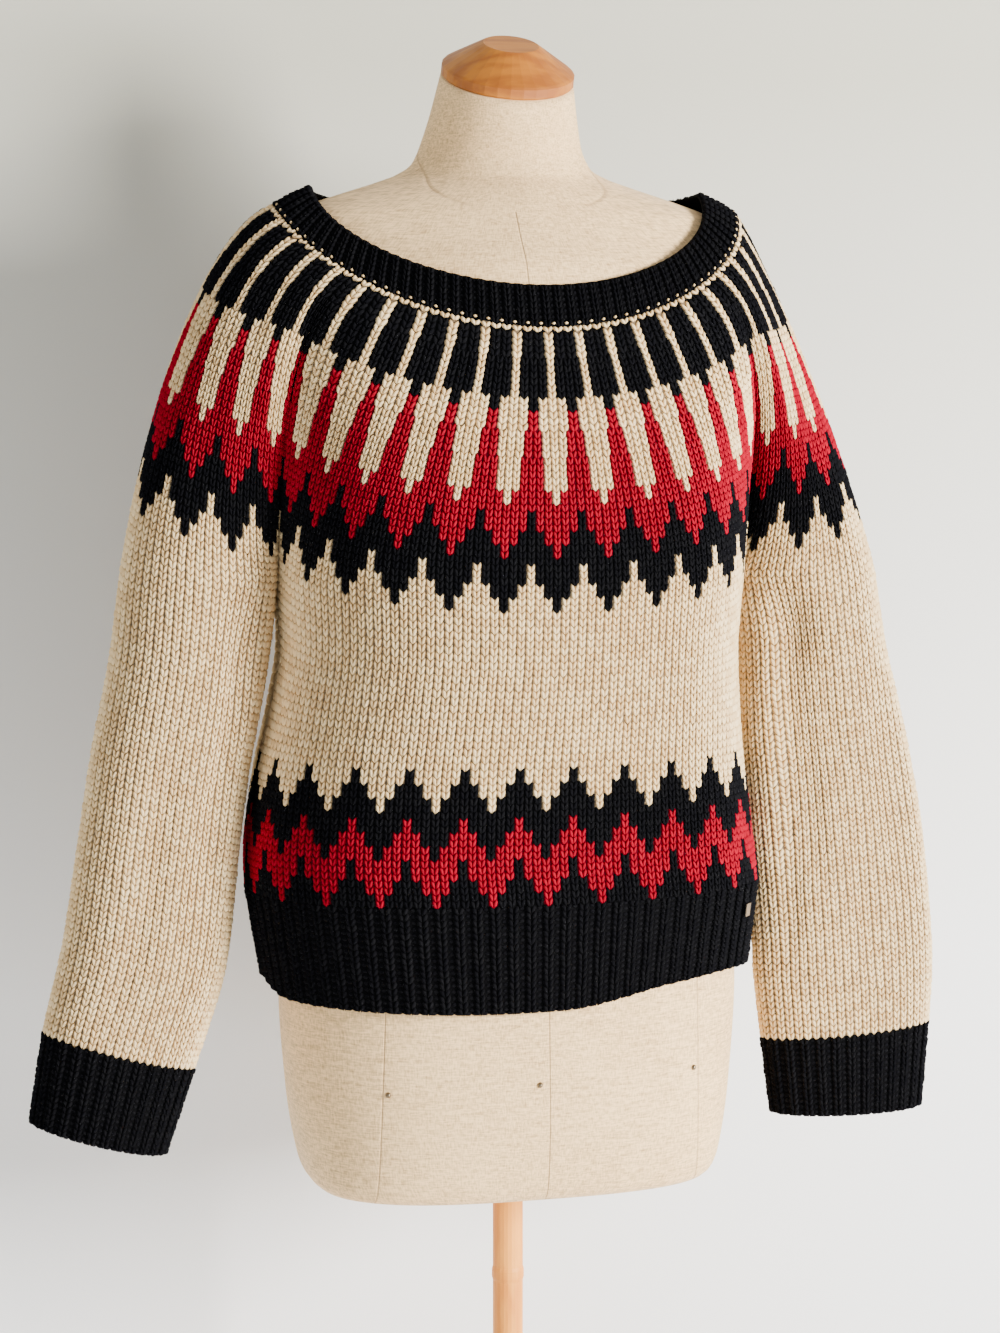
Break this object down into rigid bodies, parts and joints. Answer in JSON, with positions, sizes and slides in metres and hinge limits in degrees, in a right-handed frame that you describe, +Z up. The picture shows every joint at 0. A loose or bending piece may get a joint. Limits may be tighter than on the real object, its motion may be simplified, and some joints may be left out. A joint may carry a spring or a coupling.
{
  "type": "knitted sweater on a dress form",
  "caption": "Round-yoke knitted pullover with long wide sleeves and ribbed edges, worn by a limbless linen dress form on a wooden pole and round base.",
  "frame": {"origin": "centre of the base's underside, on the floor under the pole", "axes": "+Z up along the pole, -Y towards the front of the sweater, +X towards the wearer's left"},
  "size_m": [0.7418, 0.38, 1.5166],
  "materials": {
    "cream_yarn": "matte wool-blend stocking stitch",
    "black_yarn": "matte ribbed knit",
    "linen": "plain woven linen",
    "varnished_wood": "satin varnish",
    "pale_wood": "satin",
    "tag_metal": "plain plate"
  },
  "bodies": {
    "root": {"front": "cream_yarn", "back": "cream_yarn", "sleeve_left": "cream_yarn", "sleeve_right": "cream_yarn", "neckband": "black_yarn", "hem_rib_front": "black_yarn", "hem_rib_back": "black_yarn", "cuff_left": "black_yarn", "cuff_right": "black_yarn", "hem_tag": "tag_metal", "form_body": "linen", "form_neck_cap": "varnished_wood", "form_pole": "pale_wood", "form_base": "pale_wood"}
  },
  "joints": []
}
